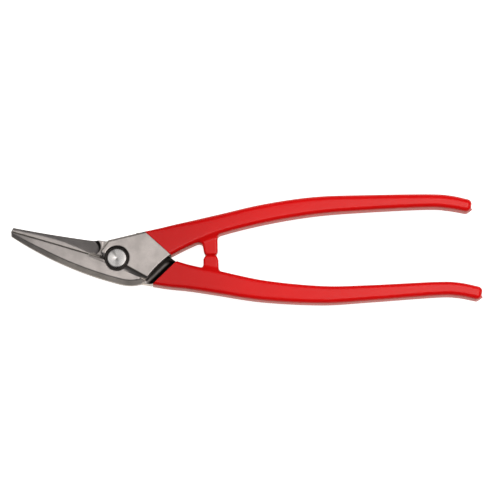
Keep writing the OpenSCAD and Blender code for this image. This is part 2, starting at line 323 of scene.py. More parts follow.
WALL_X, WALL_Y = -10, 8                     # foremost point of the wall at the hollow grind's end
WALL_CURVE, WALL_LEAN = 0.12, 0.85
HEEL_FOLD = [(-8.2, -2.35), (-16, 0.9)]     # in which the shelf behind the edge leaves the blade's face
SHELF_FALL = 0.72                           # of that shelf, per millimetre from the fold
HEEL_SHELF = [(-16, -1), (-6, -5), (-3, -1), (-9, 2.2), (-14, 4.4), (-16.9, 2.7), (-17.5, 1.2)]

FRONT_CHEEK = [
    (-5.4, 11), (-9.4, 5.4), (-9.9, 4.1), (-8.9, 2.0), (-2, -5.5), (7, -8.6), (17.1, -12.7), (18.2, -11.6),
    (21.2, -7.8), (24.5, -4.2), (28.05, -0.9), (31.9, 2.1), (33, 5), (24, 18.3), (17.3, 16.6),
]
CHAMFERED = [[(17.3, 16.6), (-5.4, 11)], [(-5.4, 11), (-9.4, 5.4)]]
CHAMFER = 1.05
FRONT_BORE_R, REAR_BORE_R = 4.02, 4.04
POCKET_R = 7.3                              # of the recess that holds the bolt's head
POCKET_FLOOR = 2.5                          # height of its floor above the shear plane
RAMP = [(7.2, -5.2), (18.2, -11.4)]         # top of the long flank from the cheek down to the belly
FLANKS = [(RAMP, 2.1), ([(-8.9, 2.0), (-2, -3.4)], 0.6)]    # tops of sloping flanks, and their run per mm
REAR_CHEEK = [
    (-12.9, 12), (-12.2, -1), (-9, -7.6), (-4, -11), (20.6, -15.2), (36.2, -2), (32.3, 1.0), (18.2, 11.5),
    (15, 12.6), (6, 12.8), (-2, 11),
]

# Stop lugs on the handles' inner sides
UPPER_LUG = [
    (46.5, 18), (47.6, 11.4), (49.4, 10.3), (50.7, 9), (51.3, 7), (51.5, 5), (52.6, 2.32), (59, 2.32),
    (60.0, 4.6), (59.6, 19),
]
LOWER_LUG = [(61, -16), (60.4, -0.4), (59.2, 2.28), (52.7, 2.28), (51.4, 0), (51.4, -6), (51.2, -15)]
LUG_HALF_T = 3.2
LUG_COAT_R, LUG_CORE_R = 1.5, 0.8           # rounding of a lug's edges, over the coat and under it

# Drip on a handle's end
DRIP_R = 1.5
DRIP_TAPER, DRIP_TAPER_FROM = 0.9, -0.4     # radius lost per millimetre, and where the loss starts
DRIP_LENGTH = 1.1
DRIP_OFF = 1.3                              # from the handle's middle line
DRIP_FLATNESS = 0.6

# Rounding of edges and of inner corners
KEEN_R = 0.1
HONED_R = 0.12
LAP_R = 0.15
SLIGHT_R = 0.2
GROUND_R = 0.3
FOLD_R = 0.35
BLEND_R = 0.4
RIM_R = 0.5
SHELF_R = 0.6
FORGED_R = 0.7
WALL_R = 0.8
LUG_CORE_FILLET, LUG_COAT_FILLET = 1.2, 2.2


def smooth_path(stations):
    """A handle's middle line and half width at closely spaced x, on a smooth curve through its stations."""
    p = np.array(stations, float)
    p = np.vstack([p[:1], p, p[-1:]])
    t = np.linspace(0, 1, PATH_STEPS, endpoint=False)[:, None]
    parts = []
    for a, b, c, d in zip(p[:-3], p[1:-2], p[2:-1], p[3:]):
        parts.append((2 * b + (c - a) * t + (2 * a - 5 * b + 4 * c - d) * t ** 2
                      + (3 * b - 3 * c + d - a) * t ** 3) / 2)
    path = np.vstack(parts + [p[-1:]])
    last = path[-1] - path[-PATH_STEPS // 3]
    ahead = path[-1] + last / np.hypot(*last[:2]) * RUN_ON
    ahead[2] = path[-1][2]
    path = np.vstack([path, ahead])
    heading = np.arctan2(np.gradient(path[:, 1]), np.gradient(path[:, 0]))
    return path, heading


UPPER_PATH = smooth_path(UPPER_HANDLE)
LOWER_PATH = smooth_path(LOWER_HANDLE)


def across(path, x, y):
    """Distance from the handle's middle line, square to it, and the half width there."""
    line, heading = path
    h = np.interp(x, line[:, 0], heading)
    return (y - np.interp(x, line[:, 0], line[:, 1])) * np.cos(h), np.interp(x, line[:, 0], line[:, 2])


def past_end(path, stations, x, y):
    """How far a point lies past the handle's last station, along the handle."""
    h = path[1][-1]
    return (x - stations[-1][0]) * math.cos(h) + (y - stations[-1][1]) * math.sin(h)


def bar(path, stations, half_t, thinner, edge_r, x, y, z):
    """A handle: a bar with rounded edges and drafted sides that follows its middle line to a rounded end."""
    off, half_w = across(path, x, y)
    half_w = half_w - thinner
    side = np.abs(off) - half_w + DRAFT * (z / half_t) ** 2
    flat = np.abs(z) - half_t + CROWN * np.clip(off / half_w, -1, 1) ** 2
    if stations is UPPER_HANDLE:
        edge_r = np.where(off > 0, edge_r + OUTER_R - EDGE_R, edge_r)
    crisper = np.where(off > 0, CRISPER_OUTER, CRISPER_INNER) * fade(-x, -CRISPER_X, CRISPER_RUN)
    body = both(side, flat, edge_r * (1 - crisper))
    return both(body, past_end(path, stations, x, y) - END_REACH + thinner, END_R - thinner)


def lug(x, y, z, outline_points, half_t, r):
    """A stop lug: an upright block with well-rounded edges."""
    return both(outline(x, y, outline_points, r), np.abs(z) - half_t, r)


def steel_core(path, stations, lug_points, x, y, z):
    """The steel inside a coat: its bar and its lug, both smaller by about the coat's thickness."""
    steel = bar(path, stations, CORE_HALF_T, COAT_T, CORE_EDGE_R, x, y, z)
    inner_lug = lug(x, y, z, lug_points, LUG_HALF_T - COAT_T, LUG_CORE_R) + COAT_T * 0.9
    return either(steel, inner_lug, LUG_CORE_FILLET)


def along_diagonal(x, y, side):
    """Distance from the pivot towards the upper (1) or the lower (-1) handle's shoulder."""
    return (x + side * y) * DIAGONAL


def past_start(x, y, start):
    """Distance past the straight line at which a coat starts."""
    return x * start[0] + y * start[1] - start[2]


def shoulder(d, up, top_d):
    """Space kept free for the other cheek: past its foot it ends in a cove that rises to top_d."""
    centre_d, centre_up = SHOULDER_D - COVE_BACK, CHEEK_T + COVE_ABOVE
    reach_d, reach_up = top_d - centre_d, centre_up - LAP_GAP
    cove = (np.hypot((d - centre_d) / reach_d, (up - centre_up) / reach_up) - 1) * min(reach_d, reach_up)
    return np.maximum(LAP_GAP - up, np.minimum(d - centre_d, cove))


def past_line(x, y, line):
    """Distance to the right of a line that runs from its first point to its second."""
    (ax, ay), (bx, by) = line
    return ((x - ax) * (by - ay) - (y - ay) * (bx - ax)) / math.hypot(bx - ax, by - ay)


# Belly of the lower blade: a long curve, then two tighter ones round the heel
BELLY_R, BELLY_C = 215.0, np.array([56.0, 192.7])
HEEL_TURN_X, HEEL_TURN_R = 2.0, 25.0
HEEL_END_X, HEEL_END_R = 13.5, 5.0


def next_centre(c, big_r, x, r):
    """Centre of an arc of radius r that carries on from the arc about c, where that one reaches x."""
    p = np.array([x, c[1] - math.sqrt(big_r ** 2 - (x - c[0]) ** 2)])
    return p + (c - p) * r / big_r


TURN_C = next_centre(BELLY_C, BELLY_R, HEEL_TURN_X, HEEL_TURN_R)
END_C = next_centre(TURN_C, HEEL_TURN_R, HEEL_END_X, HEEL_END_R)


def belly(x, y):
    """Distance outside the belly's outline."""
    def past(c, d):
        return (d[0] - c[0]) * (y - c[1]) - (d[1] - c[1]) * (x - c[0])
    long_curve = np.hypot(x - BELLY_C[0], y - BELLY_C[1]) - BELLY_R
    turn = np.hypot(x - TURN_C[0], y - TURN_C[1]) - HEEL_TURN_R
    end = np.hypot(x - END_C[0], y - END_C[1]) - HEEL_END_R
    out = np.where(past(BELLY_C, TURN_C) > 0, turn, long_curve)
    return np.where((past(TURN_C, END_C) > 0) & (y < TURN_C[1]), end, out)


def edge_above(x, y, y0):
    """Distance above a cutting edge, square to it."""
    return (y - y0 - EDGE_SLOPE * x) / math.hypot(1, EDGE_SLOPE)


def blade_top(x):
    """Thickness of either blade: it thins towards the tip."""
    return HEEL_T - THINNING * fade(-x, -THINNING_X, THINNING_RUN) ** 3


def front_lever(x, y, z):
    """The front forging: upper handle, ground cheek and bellied blade."""
    d = along_diagonal(x, y, 1)
    core = steel_core(UPPER_PATH, UPPER_HANDLE, UPPER_LUG, x, y, z)
    core = both(np.maximum(core, CORE_START_D - d), -shoulder(d, -z, UPPER_COAT_D), GROUND_R)
    head = either(front_cheek(x, y, z), lower_blade(x, y, z), BLEND_R)
    whole = either(both(head, LAP_GAP - z, LAP_R), core, FOLD_R)
    from_pivot = np.hypot(x, y)
    whole = np.maximum(whole, FRONT_BORE_R - from_pivot)
    return both(whole, -np.maximum(from_pivot - POCKET_R, POCKET_FLOOR - z), RIM_R)


def front_cheek(x, y, z):
    """The cheek in front: chamfered along the tool's back, with a sloping flank down to the belly."""
    plate = both(outline(x, y, FRONT_CHEEK, RIM_R), z - CHEEK_T, GROUND_R)
    for line in CHAMFERED:
        plate = both(plate, (past_line(x, y, line) + z - CHEEK_T + CHAMFER) * DIAGONAL, SLIGHT_R)
    for line, run in FLANKS:
        flank = (past_line(x, y, line) + (z - CHEEK_T) * run) / math.hypot(1, run)
        plate = both(plate, flank, GROUND_R)
    return np.maximum(plate, past_start(x, y, UPPER_START))


def lower_blade(x, y, z):
    """The blade in front: a flat face, a bevel along the belly and an upright edge with a back bevel."""
    out = belly(x, y)
    top = z - blade_top(x) - HEEL_RISE * np.clip(x - HEEL_RISE_X, 0, HEEL_RISE_RUN)
    run = BEVEL_RUN - BEVEL_LOSS * fade(-x, -BEVEL_LOSS_X, BEVEL_LOSS_RUN)
    rise = blade_top(x) - BELLY_FLAT
    bevel = (out * rise + (z - BELLY_FLAT) * run) / np.hypot(run, rise)
    edge = edge_above(x, y, LOWER_EDGE_Y0)
    back_bevel = (edge_above(x, y, BACK_BEVEL_Y0) + z - blade_top(x)) * DIAGONAL
    body = both(both(top, bevel, FOLD_R), out, GROUND_R)
    body = both(body, both(edge, back_bevel, HONED_R), HONED_R)
    return both(either(body, heel_flank(x, y, z), GROUND_R), LOWER_TIP_X - x, BLEND_R)


def heel_flank(x, y, z):
    """Sloping shelf between the heel of the cutting edge and the cheek."""
    slope = (z - HEEL_T + past_line(x, y, HEEL_FOLD) * SHELF_FALL) / math.hypot(1, SHELF_FALL)
    return both(outline(x, y, HEEL_SHELF, SHELF_R), both(slope, z - blade_top(x), SLIGHT_R), GROUND_R)


def rear_lever(x, y, z):
    """The rear forging: lower handle, rear cheek and slim hollow-ground blade."""
    d = along_diagonal(x, y, -1)
    core = steel_core(LOWER_PATH, LOWER_HANDLE, LOWER_LUG, x, y, z)
    core = both(np.maximum(core, CORE_START_D - d), -shoulder(d, z, LOWER_COAT_D), GROUND_R)
    plate = both(outline(x, y, REAR_CHEEK, FORGED_R), -CHEEK_T - z, RIM_R)
    plate = np.maximum(both(plate, z + LAP_GAP, HONED_R), past_start(x, y, LOWER_START))
    head = either(plate, upper_blade(x, y, z), BLEND_R)
    head = both(head, -relief(x, y, z), KEEN_R)
    whole = either(head, core, FOLD_R)
    return np.maximum(whole, REAR_BORE_R - np.hypot(x, y))


def upper_blade(x, y, z):
    """The blade behind: a slim back with a rounded rear edge, cut back at the tip."""
    above = edge_above(x, y, EDGE_Y0 - OVERLAP)
    back = y - (BACK_Y0 - BACK_FALL * x + BACK_BEND * x ** 2)
    back = back / np.hypot(1, BACK_FALL - 2 * BACK_BEND * x)
    body = both(both(back, -z - blade_top(x), FORGED_R), z + LAP_GAP, LAP_R)
    body = both(body, (-above - EDGE_LEAN * z) / math.hypot(1, EDGE_LEAN), KEEN_R)
    body = both(body, both(past_line(x, y, UPPER_TIP), LOWER_TIP_X + 0.1 - x, GROUND_R), LAP_R)
    return np.maximum(body, x - UPPER_ROOT_X)


def relief(x, y, z):
    """What the hollow grind takes away: deeper further from the land, up to a rounded end wall."""
    land = OVERLAP + LAND_SHOWN + np.interp(x, LAND_X, LAND_WIDTH)
    past = edge_above(x, y, EDGE_Y0 - OVERLAP) - land
    depth = RELIEF_SLOPE * (past + np.hypot(past, RELIEF_SOFTNESS)) / 2
    wall = (x - WALL_X + WALL_CURVE * (y - WALL_Y) ** 2 - WALL_LEAN * z) / math.hypot(1, WALL_LEAN)
    return both(-(z + LAP_GAP + depth), wall, WALL_R)


def upper_coat(x, y, z):
    """The upper handle's coat."""
    return coat(UPPER_PATH, UPPER_HANDLE, UPPER_LUG, x, y, z)


def lower_coat(x, y, z):
    """The lower handle's coat."""
    return coat(LOWER_PATH, LOWER_HANDLE, LOWER_LUG, x, y, z)


def coat(path, stations, lug_points, x, y, z):
    """Outer face of a dip coat: it follows the handle and its lug, softens corners and ends in a drip."""
    outer = bar(path, stations, COAT_HALF_T, 0, EDGE_R, x, y, z)
    outer = either(outer, lug(x, y, z, lug_points, LUG_HALF_T, LUG_COAT_R), LUG_COAT_FILLET)
    return either(outer, drip(path, stations, x, y, z), WALL_R)


def drip(path, stations, x, y, z):
    """The small pointed drip that the dip leaves on the handle's end."""
    past = past_end(path, stations, x, y) - END_REACH
    off, _ = across(path, x, y)
    radius = DRIP_R - DRIP_TAPER * np.clip(past - DRIP_TAPER_FROM, 0, 2)
    return both(np.hypot(off + DRIP_OFF, z * DRIP_FLATNESS) - radius, past - DRIP_LENGTH, BLEND_R)


# ---------------------------------------------------------------------------------------------
# Finishes
# ---------------------------------------------------------------------------------------------


# Black of the forging scale, which also serves as painted shade on the levers
SCALE_AND_SHADE_BLACK = ((0.018, 0.016, 0.015), (0.05, 0.045, 0.04))
NYLON = ((0.74, 0.75, 0.7), (0.84, 0.84, 0.8))


class Nodes:
    """Short way to add and link the nodes of one material."""

    def __init__(self, name):
        self.material = bpy.data.materials.new(name)
        self.material.use_nodes = True
        self.tree = self.material.node_tree
        self.tree.nodes.clear()
        self.shader = self.add("ShaderNodeBsdfPrincipled")
        self.link(self.shader, "BSDF", self.add("ShaderNodeOutputMaterial"), "Surface")

    def add(self, kind, **settings):
        node = self.tree.nodes.new(kind)
        for key, value in settings.items():
            setattr(node, key, value)
        return node

    def link(self, a, out, b, into):
        self.tree.links.new(a.outputs[out], b.inputs[into])

    def set(self, **values):
        for key, value in values.items():
            self.shader.inputs[key.replace("_", " ")].default_value = value

    def place(self, scale=(1, 1, 1), turn=0.0):
        """Object coordinates in millimetres, turned in plan and scaled."""
        coord = self.add("ShaderNodeTexCoord")
        mapping = self.add("ShaderNodeMapping")
        mapping.inputs["Rotation"].default_value = (0, 0, turn)
        mapping.inputs["Scale"].default_value = [s / MM for s in scale]
        self.link(coord, "Object", mapping, "Vector")
        return mapping

    def noise(self, place, scale, detail=3.0, rough=0.55):
        node = self.add("ShaderNodeTexNoise")
        node.inputs["Scale"].default_value = scale
        node.inputs["Detail"].default_value = detail
        node.inputs["Roughness"].default_value = rough
        self.link(place, "Vector", node, "Vector")
        return node

    def remap(self, node, out, low, high, to_low, to_high):
        remap = self.add("ShaderNodeMapRange")
        remap.inputs["From Min"].default_value = low
        remap.inputs["From Max"].default_value = high
        remap.inputs["To Min"].default_value = to_low
        remap.inputs["To Max"].default_value = to_high
        self.link(node, out, remap, "Value")
        return remap

    def mix(self, a, b, factor_node, factor_out, blend="MIX", factor=None):
        """A colour mix of a and b, each of which is a colour or a node's output."""
        mix = self.add("ShaderNodeMix", data_type="RGBA", blend_type=blend)
        if factor_node is None:
            mix.inputs[0].default_value = factor
        else:
            self.link(factor_node, factor_out, mix, 0)
        for value, socket in ((a, 6), (b, 7)):
            if isinstance(value, tuple):
                mix.inputs[socket].default_value = (*value, 1)
            else:
                self.tree.links.new(value, mix.inputs[socket])
        return mix.outputs[2]

    def bump(self, height_socket, strength, distance_mm, under=None):
        bump = self.add("ShaderNodeBump")
        bump.inputs["Strength"].default_value = strength
        bump.inputs["Distance"].default_value = distance_mm * MM
        self.tree.links.new(height_socket, bump.inputs["Height"])
        if under is not None:
            self.link(under, "Normal", bump, "Normal")
        return bump


def forged_steel(settings):
    """Satin ground faces, and black where the lever's stored share says: forging scale on the shoulders, and
    painted shade on steep, recessed and turned-away faces.
    """
    n = Nodes("forged_steel")
    # the stored share holds forging scale and painted shade together
    scale = n.add("ShaderNodeAttribute", attribute_name="scale_and_shade_cover")
    grain = n.noise(n.place(), 2.6, 4, 0.7)
    cloud = n.noise(n.place(), 0.11, 3, 0.5)
    lines = n.noise(n.place((0.25, 4.5, 1.0), math.radians(12)), 1.1, 3, 0.6)
    ground = tuple(settings.ground_colour)
    pale = n.mix(tuple(c * 0.86 for c in ground), tuple(min(1, c * 1.1) for c in ground),
                 n.remap(cloud, "Fac", 0.35, 0.65, 0, 1), "Result")
    pale = n.mix(pale, tuple(c * 0.7 for c in ground), n.remap(grain, "Fac", 0.52, 0.75, 0, 0.5), "Result")
    pale = n.mix(pale, tuple(c * 0.8 for c in ground), n.remap(lines, "Fac", 0.5, 0.75, 0, 0.45), "Result")
    black = n.mix(*SCALE_AND_SHADE_BLACK, n.remap(grain, "Fac", 0.4, 0.65, 0, 1), "Result")
    colour = n.mix(pale, black, scale, "Fac")
    n.tree.links.new(colour, n.shader.inputs["Base Color"])
    rough = n.remap(grain, "Fac", 0.3, 0.7, 0.29, 0.38)
    more = n.add("ShaderNodeMath", operation="MULTIPLY_ADD")
    n.link(scale, "Fac", more, 0)
    more.inputs[1].default_value = 0.12
    n.link(rough, "Result", more, 2)
    n.link(more, "Value", n.shader, "Roughness")
    n.set(Metallic=1.0)
    fine = n.bump(grain.outputs["Fac"], 0.25, 0.03)
    n.link(n.bump(lines.outputs["Fac"], 0.2, 0.03, fine), "Normal", n.shader, "Normal")
    return n.material


def dip_coat(settings):
    """Glossy dipped plastic: saturated red with faint flow waves, and painted shade that darkens it towards the
    coat's start.
    """
    n = Nodes("red_dip_coat")
    red = tuple(settings.coat_colour)
    cloud = n.noise(n.place(), 0.06, 2, 0.5)
    colour = n.mix(tuple(c * 0.96 for c in red), red, n.remap(cloud, "Fac", 0.35, 0.65, 0, 1), "Result")
    along = n.add("ShaderNodeSeparateXYZ")
    n.link(n.place(), "Vector", along, "Vector")
    # painted shade: the red darkens towards the coat's start
    shade_towards_start = n.remap(along, "X", 22, 95, 0.36, 0)
    shade_towards_start.interpolation_type = "SMOOTHSTEP"
    colour = n.mix(colour, tuple(c * 0.3 for c in red), shade_towards_start, "Result")
    n.tree.links.new(colour, n.shader.inputs["Base Color"])
    waves = n.noise(n.place((0.5, 1, 1)), 0.22, 2, 0.4)
    haze = n.noise(n.place(), 1.7, 2, 0.5)
    rough = n.remap(haze, "Fac", 0.3, 0.75, 0.2, 0.26)
    n.link(rough, "Result", n.shader, "Roughness")
    n.set(IOR=1.36)
    low = n.bump(waves.outputs["Fac"], 0.2, 0.1)
    n.link(low, "Normal", n.shader, "Normal")
    return n.material


# Fans of light and shade round a turned face: place on the turn from 0 to 1, and shade
FANS = (
    (0.0, 1.0), (0.19, 0.95), (0.26, 0.72), (0.36, 1.0), (0.62, 0.9), (0.76, 0.92), (0.835, 0.45), (0.9, 0.9),
    (1.0, 1.0),
)


def turned_steel(settings):
    """Lathe-turned bright steel: fine rings about the pivot, and fans of light and shade across them."""
    n = Nodes("turned_steel")
    coord = n.place()
    rings = n.add("ShaderNodeTexWave", wave_type="RINGS", rings_direction="Z", wave_profile="SIN")
    rings.inputs["Scale"].default_value = 2.2
    rings.inputs["Distortion"].default_value = 0.6
    rings.inputs["Detail"].default_value = 2
    n.link(coord, "Vector", rings, "Vector")
    cloud = n.noise(coord, 0.5, 3, 0.6)
    bright = tuple(settings.bolt_colour)
    colour = n.mix(tuple(c * 0.92 for c in bright), bright, n.remap(cloud, "Fac", 0.3, 0.7, 0, 1), "Result")
    turn = n.add("ShaderNodeTexGradient", gradient_type="RADIAL")
    n.link(coord, "Vector", turn, "Vector")
    fans = n.add("ShaderNodeValToRGB")
    n.link(turn, "Fac", fans, "Fac")
    fans.color_ramp.interpolation = "EASE"
    while len(fans.color_ramp.elements) < len(FANS):
        fans.color_ramp.elements.new(0.5)
    for element, (place, shade) in zip(fans.color_ramp.elements, FANS):
        element.position = place
        element.color = (shade, shade, shade, 1)
    colour = n.mix(colour, fans.outputs["Color"], None, None, "MULTIPLY", 1.0)
    n.tree.links.new(colour, n.shader.inputs["Base Color"])
    n.link(n.remap(rings, "Fac", 0, 1, 0.27, 0.32), "Result", n.shader, "Roughness")
    n.set(Metallic=1.0, Anisotropic=0.4, Anisotropic_Rotation=0.25)
    tangent = n.add("ShaderNodeTangent", direction_type="RADIAL", axis="Z")
    n.link(tangent, "Tangent", n.shader, "Tangent")
    n.link(n.bump(rings.outputs["Fac"], 0.12, 0.01), "Normal", n.shader, "Normal")
    return n.material


def plated_steel(settings):
    """Zinc plating: cool, satin, with faint passivation clouds."""
    n = Nodes("zinc_plating")
    cool = tuple(settings.plating_colour)
    cloud = n.noise(n.place(), 0.35, 3, 0.6)
    grain = n.noise(n.place(), 4.0, 3, 0.6)
    warm = (cool[0] * 0.95, cool[1] * 0.9, cool[2] * 0.72)
    colour = n.mix(cool, warm, n.remap(cloud, "Fac", 0.45, 0.75, 0, 0.6), "Result")
    n.tree.links.new(colour, n.shader.inputs["Base Color"])
    n.link(n.remap(cloud, "Fac", 0.3, 0.7, 0.26, 0.4), "Result", n.shader, "Roughness")
    n.set(Metallic=1.0)
    n.link(n.bump(grain.outputs["Fac"], 0.2, 0.02), "Normal", n.shader, "Normal")
    return n.material


def nylon(settings):
    """Natural nylon of the nut's insert."""
    n = Nodes("natural_nylon")
    cloud = n.noise(n.place(), 0.5, 2, 0.5)
    colour = n.mix(*NYLON, n.remap(cloud, "Fac", 0.3, 0.7, 0, 1), "Result")
    n.tree.links.new(colour, n.shader.inputs["Base Color"])
    n.set(Roughness=0.45, IOR=1.53, Subsurface_Weight=0.15)
    n.shader.inputs["Subsurface Radius"].default_value = (0.002, 0.002, 0.002)
    n.link(n.bump(cloud.outputs["Fac"], 0.2, 0.05), "Normal", n.shader, "Normal")
    return n.material


# ---------------------------------------------------------------------------------------------
# Making the pieces
# ---------------------------------------------------------------------------------------------

Z_LINES = span(-CHEEK_T - 0.8, FINE, CHEEK_T + 0.8)
END_FINE = 0.4                              # mesh spacing at the handles' ends and on the coats


COAT_SHARP = math.radians(50)               # angle beyond which shading breaks at an edge
TURNED_SHARP = math.radians(40)
BEVELLED_ANGLE = math.radians(35)           # angle beyond which a turned piece's edge is softened


def finish(obj, material, body, node):
    """The lines that every finished piece shares."""
    obj.data.materials.clear()
    obj.data.materials.append(material)
    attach(obj, body)
    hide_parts(node)


# Where black scale stays on the levers, and where painted shade and a painted highlight go
FRONT_SCALE_D = SHOULDER_D - 0.7            # from the pivot to the start of the front shoulder's scale
REAR_SCALE_D, REAR_SCALE_STEP = 19.6, 4.2   # the same on the rear one, and by how much it is more at the rim
RIM_Y = -12                                 # beyond which the rear lever's rim is
HIGHLIGHT_BAND_D, HIGHLIGHT_BAND_WIDTH = SHOULDER_D + 0.8, 0.75    # painted highlight: a brighter band across the rear shoulder
RAMP_ACROSS = ((-0.25, 0.1, 0.7, 2.1, 2.8), (0, 0.9, 0.85, 0.45, 0))   # distance down the flank, and share of painted shade
SHELF_ACROSS = ((-0.25, 0, 0.3, 3), (0, 0.55, 0.42, 0.42))             # the same for the painted shade on the heel shelf
FAINT_SHADE = 0.12                                 # share of painted shade on faces that are nearly bright


def near(value, centre, reach):
    """Where the value is less than reach from the centre."""
    return np.abs(value - centre) < reach


def lever_shade_and_scale(place, normal, side):
    """Black on either lever: forging scale on the shoulder, painted shade on steep faces and in the bolt's
    recess, and a painted highlight band across the rear shoulder.
    """
    x, y, z = place
    upright = -np.abs(normal[2])
    # painted shade: steep faces darkened
    wall = 0.8 * fade(upright, -0.5, 0.3)
    d = along_diagonal(x, y, side)
    start = FRONT_SCALE_D if side > 0 else REAR_SCALE_D + REAR_SCALE_STEP * fade(-y, 0.3 - RIM_Y, 2)
    # painted highlight: a brighter band across the rear shoulder, where less scale shows
    highlight_band = np.exp(-((d - HIGHLIGHT_BAND_D) / HIGHLIGHT_BAND_WIDTH) ** 2) * np.clip((-1.5 - y) / 1.5, 0, 0.86)
    shoulders = fade(d, start, 0.4) * np.maximum(fade(upright, -0.9, 0.2), side * z < 0.5) * (1 - highlight_band)
    # painted shade in the bolt's recess
    recess_shade = 0.97 * fade(-np.hypot(x, y), -POCKET_R - 0.15, 0.3)
    return np.maximum.reduce([wall, shoulders, recess_shade])


def front_shade_and_scale(place, normal):
    """Scale and painted shade on the front lever: painted shade on its long flank, edge face, chamfer, heel
    shelf and tip, and along its bevel.
    """
    (x, y, z), (_, ny, nz) = place, normal
    # painted shade down the long flank
    ramp = np.interp(past_line(x, y, RAMP), *RAMP_ACROSS)
    ramp = ramp * near(x, 12, 8) * (y > -13.4) * (z > 3.5)
    # painted shade on the lower blade's edge face
    faces_up = fade(ny, 0.2, 0.15)
    edge_face = 0.85 * faces_up * (x < -17) * (z < 3.9)
    # painted shade on the chamfer that faces away
    chamfer = 0.5 * faces_up * (z > 4.0) * (along_diagonal(x, y, 1) < SHOULDER_D) * (x > -11)
    # painted shade on the heel shelf, darker at its top
    past = past_line(x, y, HEEL_FOLD)
    shelf = np.interp(past, *SHELF_ACROSS)
    shelf = shelf * near(x, -12, 4.6) * (past < 3) * (z > 1) * (z < 4.05)
    # painted shade on the blade's face towards the tip
    tip = 0.35 * fade(-x, 46, 13) * (nz > 0.9)
    # painted shade along the bevel down to the belly
    bevel_edge = 0.42 * np.exp(-((nz - 0.87) / 0.07) ** 2) * (z > 2.5)
    return np.maximum.reduce([lever_shade_and_scale(place, normal, 1), ramp, edge_face, chamfer, shelf, tip, bevel_edge])


def rear_shade_and_scale(place, normal):
    """Scale and painted shade on the rear lever: painted shade on the wall at the hollow grind's end, and faint
    painted shade on the flat faces where the blades lap.
    """
    (x, y, z), (nx, ny, nz) = place, normal
    # painted shade on the wall at the hollow grind's end
    end_wall = 0.95 * fade(-nx, 0.25, 0.2) * near(x, -11, 3.5) * (z < -0.1)
    # faint painted shade on the flat faces where the blades lap
    lap_shade = np.where(z < -0.3, FAINT_SHADE, 0.15 * near(x, -9, 5)) * (nz > 0.8) * (x < -4)
    cover = np.maximum.reduce([lever_shade_and_scale(place, normal, -1), end_wall, lap_shade])
    # the lower rim keeps only faint painted shade
    bright_rim = (ny < -0.5) & (np.abs(nz) < 0.75) & (y < RIM_Y) & (x < 22)
    return np.where(bright_rim, FAINT_SHADE, cover)


def make_lever(name, shape, xs, ys, scale):
    """A forging, with the share of black scale and painted shade on each vertex for its finish."""
    verts, quads = skin(shape, xs, ys, Z_LINES)
    obj = piece_from(name, verts, quads)
    normals = np.zeros(len(verts) * 3)
    obj.data.vertices.foreach_get("normal", normals)
    store(obj, "scale_and_shade_cover", scale(verts.T, normals.reshape(-1, 3).T))
    return obj


def make_coat(name, shape, xs, ys, start):
    """A sleeve: the coat's outer face, cut square at its start line and given its thickness inwards."""
    verts, quads = skin(shape, xs, ys, Z_LINES)
    obj = piece_from(name, verts, quads)
    bm = bmesh.new()
    bm.from_mesh(obj.data)
    out = Vector((*start[:2], 0))
    bmesh.ops.bisect_plane(bm, geom=bm.verts[:] + bm.edges[:] + bm.faces[:], plane_co=out * start[2] * MM,
                           plane_no=-out, clear_outer=True, dist=1e-6)
    bmesh.ops.remove_doubles(bm, verts=bm.verts, dist=2e-5)
    bm.to_mesh(obj.data)
    bm.free()
    solid = obj.modifiers.new("thickness", "SOLIDIFY")
    solid.thickness = (COAT_T - COAT_GAP) * MM
    solid.offset = -1
    apply_modifiers(obj)
    for polygon in obj.data.polygons:
        polygon.use_smooth = True
    obj.data.set_sharp_from_angle(angle=COAT_SHARP)
    return obj


def apply_modifiers(obj):
    """The object's mesh with its modifiers worked in, and none left on it."""
    depsgraph = bpy.context.evaluated_depsgraph_get()
    mesh = bpy.data.meshes.new_from_object(obj.evaluated_get(depsgraph))
    old = obj.data
    obj.modifiers.clear()
    obj.data = mesh
    bpy.data.meshes.remove(old)
    mesh.name = obj.name


def lathe(name, profile, soften=0.15, steps=96, radius_at=None):
    """A turned piece: its closed outline of (radius, height) in millimetres, turned about the pivot."""
    bm = bmesh.new()
    rings = []
    for s in range(steps):
        a = 2 * math.pi * s / steps
        ring = []
        for r, z in profile:
            if radius_at:
                r, z = radius_at(r, z, a)
            ring.append(bm.verts.new((r * math.cos(a) * MM, r * math.sin(a) * MM, z * MM)))
        rings.append(ring)
    for s in range(steps):
        this, following = rings[s], rings[(s + 1) % steps]
        for i in range(len(profile)):
            j = (i + 1) % len(profile)
            bm.faces.new((this[i], this[j], following[j], following[i]))
    bmesh.ops.remove_doubles(bm, verts=bm.verts, dist=1e-7)
    bmesh.ops.recalc_face_normals(bm, faces=bm.faces)
    mesh = bpy.data.meshes.new(name)
    bm.to_mesh(mesh)
    bm.free()
    obj = bpy.data.objects.new(name, mesh)
    bpy.context.scene.collection.objects.link(obj)
    for polygon in mesh.polygons:
        polygon.use_smooth = True
    bevel = obj.modifiers.new("edges", "BEVEL")
    bevel.width = soften * MM
    bevel.segments = 3
    bevel.limit_method = "ANGLE"
    bevel.angle_limit = BEVELLED_ANGLE
    apply_modifiers(obj)
    obj.data.set_sharp_from_angle(angle=TURNED_SHARP)
    return obj


